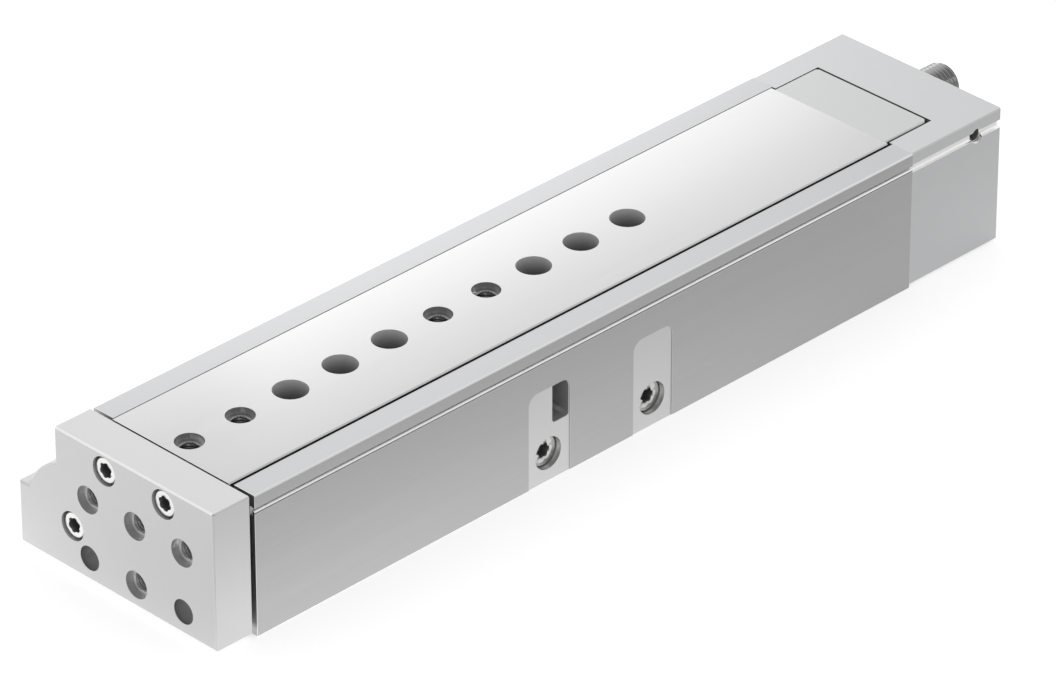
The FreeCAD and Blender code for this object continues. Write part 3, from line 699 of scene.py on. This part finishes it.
# %% Rear cap
cap_low, cap_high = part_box("rear_cap")
pipe_core, pipe_major, pipe_pitch = 4.3 * mm, 4.86 * mm, 25.4 * mm / 28
port_face_depth, pipe_depth = 0.7 * mm, 8 * mm
air_ports = ("air_port_advance", "air_port_return")
tongue_gap = 1.3 * mm            # from the tongue to the pocket's rear wall
pocket_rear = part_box("stop_tongue")[1].y + tongue_gap
pocket_half, pocket_low = 27 * mm, 30 * mm       # all of the pocket lies within these
pocket_zone = (cap_low.y + 15 * mm, cap_high.y - 20 * mm)
rim_zone = (pocket_rear - 0.05 * mm, pocket_rear + 0.7 * mm)
cap_rim = cap_high.z - 1.0 * mm
groove_zone, groove_depths = (40.7 * mm, slot_zone[1]), (0.05 * mm, 1.5 * mm)
clamp_sink, clamp_radius, clamp_start = 2.6 * mm, 2.05 * mm, 1.3 * mm


def pocket_rear_edge(edge):
    """Whether an edge is the pocket's rear one, along the cap's top."""
    ends = [v.co for v in edge.verts]
    return all(abs(p.y - pocket_rear) < 0.2 * mm and p.z > cap_rim for p in ends)


cap_mesh = broken_edges("rear_cap", 0.12 * mm, soft_edge, pocket_rear_edge, 0.6 * mm)
for port in air_ports:
    bottom = on_face(mounts[port]["pos_m"], 1, cap_high.y - port_face_depth - pipe_depth)
    root = pipe_core - tap_relief
    tap = threaded_rod(pipe_major, root, pipe_pitch, pipe_depth, root)
    cap_mesh = combined(cap_mesh, as_mesh(put(tap, bottom, (0, 1, 0)), "tap"), "DIFFERENCE")
cap = piece("rear_cap_milled", cap_mesh, "housing", "cap_aluminium",
            soft_edge, groove_painted_light, drilled_and_shade, deep_bore)
groove_coat, dark_coat, deep_coat = 2, 3, 4
# The groove is painted pale as painted light; the pocket's rear wall and edge are painted dark as painted
# shade.
for polygon in cap.data.polygons:
    normal, place = polygon.normal, polygon.center
    in_groove = within(place.z, groove_zone) and within(cap_high.x - place.x, groove_depths)
    if in_groove and abs(normal.y) < 0.5:
        polygon.material_index = groove_coat
    in_pocket = abs(place.x) < pocket_half and place.z > pocket_low
    if in_pocket and normal.y < -0.9 and within(place.y, pocket_zone):
        polygon.material_index = dark_coat
    if within(place.y, rim_zone) and place.z > cap_rim and -0.98 < normal.y < -0.2:
        polygon.material_index = dark_coat
clamp = on_face(middles_of("absorber_clamp_screw")[0], 0, cap_high.x)
# The clamp hole's countersink is painted pale as painted light, and the hole below it dark as painted
# shade.
line_holes(cap.data, groove_coat, (1, 0, 0), [(clamp, clamp_sink, 0.0)])
line_holes(cap.data, deep_coat, (1, 0, 0), [(clamp, clamp_radius, clamp_start)])
# The walls of the seats and ports in the back are darker, partly drilled metal and partly painted shade.
backs = [(p, seat_radius, mouth) for p in middles_of("rear_cap_screws")]
backs += [(mounts[port]["pos_m"], port_radius, port_face_depth + mouth) for port in air_ports]
backs = [(on_face(p, 1, cap_high.y), radius, start) for p, radius, start in backs]
line_holes(cap.data, dark_coat, (0, 1, 0), backs)
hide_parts("rear_cap")
print("rear cap:", len(cap.data.polygons), "faces")

# %% [markdown]
# The rest of the machined pieces are right as they are, but for their sharp edges. Each gets the
# width of round that suits its size, here in millimetres: a ball cage is thin brass, and a piston rod
# has a wide lead-in that slips past the seals.

# %% Smaller machined pieces
dressed = {
    "stop_tongue": 0.12, "guide_rail_left": 0.15, "guide_rail_right": 0.15,
    "ball_cage_left": 0.08, "ball_cage_right": 0.08, "piston_rod": 0.3, "rod_gland": 0.15,
    "end_plug": 0.15, "piston": 0.1, "piston_nut": 0.2, "plunger_button": 0.15,
    "absorber_plunger": 0.1, "front_buffer": 0.2, "rear_buffer": 0.2, "retaining_ring": 0.12,
    "piston_wear_ring": 0.1, "rod_wiper": 0.1, "rod_seal": 0.1, "absorber_clamp_screw": 0.1,
}
for node, width in dressed.items():
    made = piece(node + "_finished", broken_edges(node, width * mm), body_of(node), slot_of(node))
    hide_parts(node)
    print(node, len(made.data.polygons), "faces")

# %% [markdown]
# The shock absorber screws into the cap by the thread that runs all along its body, so that its
# stop can be set to a tenth of a millimetre. Cutting with the tap would leave the far end bare.
# Keeping only what lies inside a threaded rod of the same size turns the whole body at once. The
# roots of the thread get the dark finish of a screw's socket, which is painted shade.

# %% Shock absorber
stub_low, stub_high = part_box("shock_absorber")
stub_radius = (stub_high.x - stub_low.x) / 2
stub_pitch, stub_root = 1.5 * mm, 0.86 * mm
overrun = 0.1 * mm               # how far the threaded rod reaches past each end of the body
stub_start = on_face((stub_low + stub_high) / 2, 1, stub_low.y - overrun)
stub_length = stub_high.y - stub_low.y + 2 * overrun
stub_end = stub_radius - 0.9 * mm
bar = threaded_rod(stub_radius, stub_radius - stub_root, stub_pitch, stub_length, stub_end, sides=96)
stub_mesh = broken_edges("shock_absorber", 0.12 * mm)
stub_mesh = combined(stub_mesh, as_mesh(put(bar, stub_start, (0, 1, 0)), "bar"), "INTERSECT")
stub = piece("shock_absorber_threaded", stub_mesh, "housing", "absorber_steel",
             finishes["absorber_steel"], hollow_painted_shade)
root_coat = 2
# The thread's roots get the painted shade.
for polygon in stub.data.polygons:
    spot = polygon.center - stub_start
    if math.hypot(spot.x, spot.z) < stub_radius - 0.9 * stub_root and abs(polygon.normal.y) < 0.9:
        polygon.material_index = root_coat
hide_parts("shock_absorber")
print("absorber:", len(stub.data.polygons), "faces,", round(stub_length / stub_pitch), "turns")

# %% [markdown]
# A cap screw is turned, knurled round its head, pressed to form its six-lobed socket, and rolled to
# form its thread. Here each ring of points is one station along the screw, and the rings are joined
# in order, from the middle of the underside over the head and down into the socket. All rings have
# as many points, so lobes and knurls are only a matter of each ring's radius round the turn.

# %% Lofts and lobes
around = 144                     # points round a screw: four to a knurl, twenty-four to a lobe


def round_ring(radius):
    return [radius] * around


def knurled_ring(radius, depth):
    return [radius - depth * (0.0, 0.5, 1.0, 0.5)[i % 4] for i in range(around)]


def lobed_ring(outer, inner):
    """A socket with six rounded lobes, as far out as outer and as far in as inner."""
    waves = [math.cos(6 * 2 * math.pi * i / around) for i in range(around)]
    return [inner + (outer - inner) * (0.5 + 0.5 * w) ** 0.8 for w in waves]


def lofted(stations):
    """A closed mesh along +Z through (height, ring) stations; its first and last rings are filled."""
    mesh = bmesh.new()
    turns = [2 * math.pi * i / around for i in range(around)]
    rings = []
    for height, ring in stations:
        corners = [(r * math.cos(t), r * math.sin(t), height) for r, t in zip(ring, turns)]
        rings.append([mesh.verts.new(corner) for corner in corners])
    for lower, upper in zip(rings, rings[1:]):
        for i in range(around):
            j = (i + 1) % around
            mesh.faces.new((lower[i], lower[j], upper[j], upper[i]))
    for ring, height in ((rings[0], stations[0][0]), (rings[-1], stations[-1][0])):
        centre = mesh.verts.new((0, 0, height))
        for i in range(around):
            mesh.faces.new((ring[i], ring[(i + 1) % around], centre))
    bmesh.ops.recalc_face_normals(mesh, faces=mesh.faces)
    return mesh


print("lobes:", [round(r, 2) for r in lobed_ring(2.25, 1.62)[:13:4]])

# %% [markdown]
# Each screw's place and length come from the solid that it replaces, and several screws share one
# CAD node. The faces of its socket get a dark finish, which is painted shade.

# %% Screws
rounding = 1e-9                  # metres: anything less is a rounding error


def paint_socket_shade(made, below, radius):
    """Give a socket along +Z the second finish, a painted shade, up to a height. Faces that look outward
    keep the first.
    """
    for polygon in made.polygons:
        normal, place = polygon.normal, polygon.center
        inside = place.z < below and math.hypot(place.x, place.y) < radius
        outward = place.x * normal.x + place.y * normal.y > rounding
        if inside and not outward and normal.z > -0.5:
            polygon.material_index = 1


def cap_screw(head_radius, length, head_height, shank_radius, pitch, lobe_out, lobe_in):
    """A socket screw with its seat at the origin and its head towards +Z."""
    top, chamfer, lip, knurl = head_height, 0.4 * mm, 0.06 * mm, 0.12 * mm
    depth, overlap = 0.6 * head_height, 0.3 * mm
    socket = lobed_ring(lobe_out, lobe_in)
    head = lofted([
        (0.0, round_ring(head_radius - 0.2 * mm)),
        (0.2 * mm, knurled_ring(head_radius, knurl)),
        (top - 1.0 * mm, knurled_ring(head_radius, knurl)),
        (top - 0.8 * mm, round_ring(head_radius - 0.02 * mm)),
        (top - chamfer, round_ring(head_radius)),
        (top - 0.04 * mm, round_ring(head_radius - chamfer + 0.02 * mm)),
        (top, round_ring(head_radius - chamfer - 0.05 * mm)),
        (top, [r + lip for r in socket]),
        (top - lip, socket),
        (top - depth, socket),
        (top - depth - 0.25 * mm, [r * 0.8 for r in socket]),
        (top - depth - 0.6 * mm, round_ring(0.3 * mm)),
    ])
    head = as_mesh(head, "head", finishes["screw_steel"], hollow_painted_shade)
    paint_socket_shade(head, top - lip * 1.5, lobe_out)
    root = shank_radius - 0.61 * pitch
    shank = threaded_rod(shank_radius, root, pitch, length + overlap, root)
    shank = as_mesh(put(shank, (0, 0, -length), (0, 0, 1)), "shank", finishes["screw_steel"])
    return combined(head, shank, "UNION")


# Head height, shank radius, pitch, and how far the socket's lobes reach out and in.
screw_m5 = (5.0 * mm, 2.45 * mm, 0.8 * mm, 2.55 * mm, 2.12 * mm)
screw_m4 = (4.0 * mm, 1.95 * mm, 0.7 * mm, 2.05 * mm, 1.70 * mm)
screw_groups = {
    "yoke_screws": ("table", screw_m5, -1), "rod_screw": ("table", screw_m5, -1),
    "rear_cap_screws": ("housing", screw_m5, 1), "tongue_screws": ("table", screw_m4, 1),
}
stop_angle = 0.37                # radians from where one screw stopped turning to where the next did
for node, (body, size, facing) in screw_groups.items():
    head_height = size[0]
    made = []
    for number, (low, high) in enumerate(solids_of(node), 1):
        head_end = high.y if facing > 0 else low.y
        seat = on_face((low + high) / 2, 1, head_end - facing * head_height)
        mesh = cap_screw((high.z - low.z) / 2, high.y - low.y - head_height, *size)
        mesh.transform(pose_at(seat, (0, facing, 0)) @ Matrix.Rotation(stop_angle * number, 4, "Z"))
        made.append(piece(f"{node}_socket_{number}", mesh, body, slot_of(node)))
    for screw in made:
        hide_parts(node)
    print(node, len(made), "with", len(made[0].data.polygons), "faces each")

# %% [markdown]
# A blanking plug closes each side air port. It is a short threaded cylinder with a chamfered face
# and a lobed socket, nickel plated, and it sits a little below the floor of its recess. Its socket is
# painted dark as painted shade.

# %% Port plugs
plug_lobe = 2.55 * mm
plug_socket = lobed_ring(plug_lobe, 2.05 * mm)
face_depth, face_overlap = 4.0 * mm, 0.1 * mm
for node in ("port_plug_front", "port_plug_rear"):
    low, high = solids_of(node)[0]
    radius, length = (high.z - low.z) / 2, high.x - low.x
    face = lofted([
        (-face_depth, round_ring(radius - 0.9 * mm)),
        (-3.5 * mm, round_ring(radius)),
        (-0.4 * mm, round_ring(radius)),
        (-0.05 * mm, round_ring(radius - 0.32 * mm)),
        (0.0, round_ring(radius - 0.4 * mm)),
        (0.0, [r + 0.06 * mm for r in plug_socket]),
        (-0.06 * mm, plug_socket),
        (-3.6 * mm, plug_socket),
    ])
    root = radius - 0.55 * mm
    barrel = threaded_rod(radius, root, pipe_pitch, length - face_depth + face_overlap, root)
    barrel = as_mesh(put(barrel, (0, 0, -length), (0, 0, 1)), "barrel", finishes["plug_brass"])
    face = as_mesh(face, "face", finishes["plug_brass"], hollow_painted_shade)
    # The socket's faces get the painted shade.
    paint_socket_shade(face, -0.08 * mm, plug_lobe + 0.05 * mm)
    mesh = combined(face, barrel, "UNION")
    mesh.transform(pose_at(on_face((low + high) / 2, 0, high.x), (1, 0, 0)))
    plug = piece(node + "_lobed", mesh, "housing", slot_of(node))
    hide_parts(node)
    print(node, len(plug.data.polygons), "faces")

# %% [markdown]
# White metal shows what stands round it, so the room is built for its reflections. The backdrop is
# the world itself: white to the lens, and white in mirrors on the far side, while the side where the
# camera stands is dimmer, as a room is behind a photographer. That dimness is what draws the bores
# and threads dark. Light that only falls on things comes evenly and a little weaker. The pale floor
# adds the rest of its white to what is seen directly, and keeps the slide's soft shadow. Mirrors see
# it darker, but for a pool of painted light beside the slide's front half: a glow on the floor that
# only mirrors see, shaped by four ramps.

# %% Backdrop and floor
backdrop_white = 1.0
camera_side = (0.70, -0.70, 0.14)
camera_side_white = 0.30
turn_start, turn_end = -0.2, 0.6     # cosines to that side between which the white falls
fill_light = 0.65
floor_colour = (0.90, 0.90, 0.90)
floor_lift = 0.50
floor_lift_mirrored = 0.04
painted_pool_lift = 0.63
white = (1, 1, 1, 1)


def ray_kind(finish, kind):
    return finish.node("ShaderNodeLightPath", out=f"Is {kind} Ray")


def mirrored(finish):
    """1 for what a mirror or a glass shows, and 0 for all else."""
    return ray_kind(finish, "Glossy") + ray_kind(finish, "Transmission")


world = bpy.data.worlds.new("studio")
bpy.context.scene.world = world
world.use_nodes = True
sky = Finish(world.node_tree)
direction = sky.node("ShaderNodeTexCoord", out="Generated")
dot = {"operation": "DOT_PRODUCT"}
facing = sky.node("ShaderNodeVectorMath", dot, {0: direction, 1: camera_side}, out="Value")
room = sky.ramp(facing, turn_start, turn_end, backdrop_white, camera_side_white)
to_lens = (backdrop_white - fill_light) * ray_kind(sky, "Camera")
to_mirrors = (room - fill_light) * mirrored(sky)
strength = fill_light + to_lens + to_mirrors
light = sky.node("ShaderNodeBackground", {}, {"Color": white, "Strength": strength})
sky.node("ShaderNodeOutputWorld", {}, {"Surface": light})

floor_material, floor_finish = new_finish("pale_floor")
paper = floor_finish.node("ShaderNodeBsdfDiffuse", {}, {"Color": (*floor_colour, 1)})
across, along = floor_finish.along(0), floor_finish.along(1)
# Each ramp starts and ends at these places, in metres, with these shares of the pool's light.
beside = floor_finish.ramp(across, 0.03, 0.125, painted_pool_lift, 0.0)
nearby = floor_finish.ramp(along, -0.15, 0.28, 1.04, 0.30)
before = floor_finish.ramp(along, -0.17, -0.105, 0.42, 1.0)
leftward = floor_finish.ramp(across, -0.10, 0.02, 1.35, 1.0)
# The pool is painted light, a glow on the floor that only mirrors see.
pool = beside * nearby * before * leftward
seen = floor_lift * ray_kind(floor_finish, "Camera")
lift = seen + (floor_lift_mirrored + pool) * mirrored(floor_finish)
glow = floor_finish.node("ShaderNodeEmission", {}, {"Color": white, "Strength": lift})
both = floor_finish.node("ShaderNodeAddShader", {}, {0: paper, 1: glow})
floor_finish.node("ShaderNodeOutputMaterial", {}, {"Surface": both})

floor_size, floor_drop = 8.0, 0.05 * mm
floor_mesh = bmesh.new()
bmesh.ops.create_grid(floor_mesh, x_segments=1, y_segments=1, size=floor_size / 2)
floor = bpy.data.objects.new("floor", as_mesh(floor_mesh, "floor"))
floor.data.materials.append(floor_material)
floor.location.z = -floor_drop
bpy.context.scene.collection.objects.link(floor)
print("floor:", floor_size, "m wide")

# %% [markdown]
# Four soft lamps shape it. One hangs level over the far left, and its edge lies where the table's top
# mirrors it, so the top runs from bright at the left to plain at the right. A small one beside it
# reaches the top's front left corner. A wide one in front lifts the yoke, and another wide one stands
# at the right, a little to the front.

# %% Lamps
def softbox(name, place, aim, size, watts):
    """A rectangular lamp that shows in reflections and not to the camera."""
    lamp = bpy.data.lights.new(name, "AREA")
    lamp.shape = "RECTANGLE"
    lamp.size, lamp.size_y = size
    lamp.energy = watts
    made = bpy.data.objects.new(name, lamp)
    made.location = place
    made.rotation_euler = (Vector(place) - Vector(aim)).to_track_quat("Z", "Y").to_euler()
    made.visible_camera = False
    bpy.context.scene.collection.objects.link(made)
    print(name, watts, "W at", [round(c, 2) for c in place])


softbox("top_lamp", (-0.38, 0.32, 0.26), (-0.38, 0.32, 0.0), (0.25, 0.33), 0.22)
softbox("corner_lamp", (-0.325, 0.11, 0.26), (-0.325, 0.11, 0.0), (0.09, 0.11), 0.0135)
softbox("front_lamp", (-0.9, -1.6, 0.5), (0.0, -0.1, 0.02), (1.0, 1.0), 0.5)
softbox("side_lamp", (0.9, -0.5, 0.4), (0.03, -0.05, 0.02), (0.6, 0.6), 0.5)

# %% [markdown]
# Every node gets its slot's finish, which shows on those that no piece replaces.

for node, source in nodes.items():
    source.data.materials.clear()
    source.data.materials.append(finishes[slot_of(node)])
    source.data.shade_smooth()
    source.data.set_sharp_from_angle(angle=sharp_angle)
